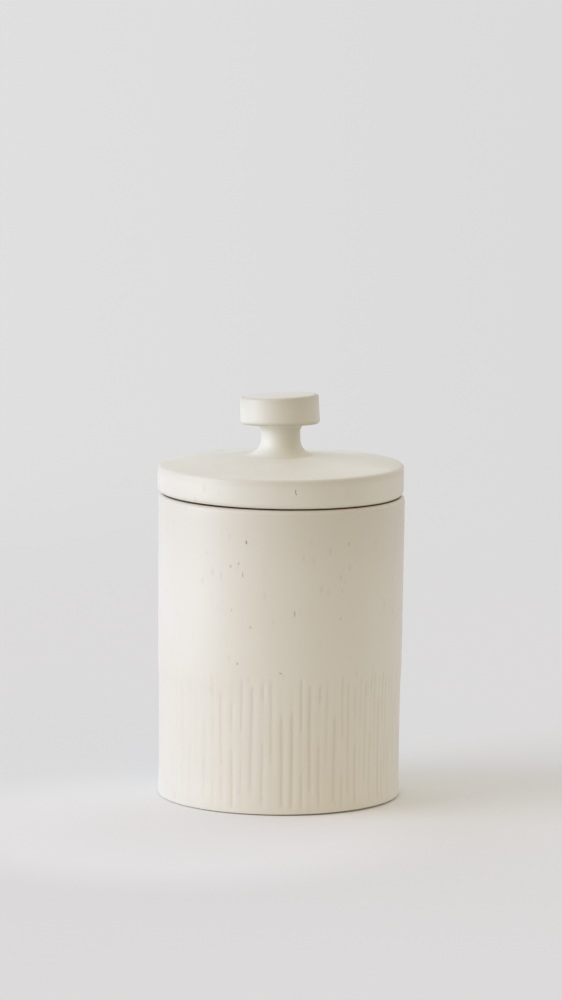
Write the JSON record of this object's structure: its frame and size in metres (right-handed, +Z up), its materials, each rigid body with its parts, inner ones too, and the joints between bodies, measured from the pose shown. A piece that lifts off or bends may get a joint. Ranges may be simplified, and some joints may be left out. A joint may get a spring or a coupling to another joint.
{
  "type": "lidded pottery jar",
  "caption": "Lidded stoneware storage jar: slightly tapered thrown body with a carved fluted band, thick disc lid with a locating flange, and a turned mushroom knob.",
  "frame": {"origin": "on the ground, under the middle of the foot ring", "axes": "+Z up along the axis the jar was thrown on, the pictured front faces -Y, +X to the viewer's right"},
  "size_m": [0.11, 0.11, 0.1799],
  "materials": {
    "cream_glaze": "satin cream glaze over brown stoneware, with small iron specks"
  },
  "bodies": {
    "jar": {"jar_body": "cream_glaze"},
    "lid": {"lid": "cream_glaze", "lid_knob": "cream_glaze"}
  },
  "joints": [
    {"name": "lid_lift", "type": "slide", "parent": "jar", "child": "lid", "axis": [0, 0, 1], "range_m": [0, 0.12]}
  ]
}
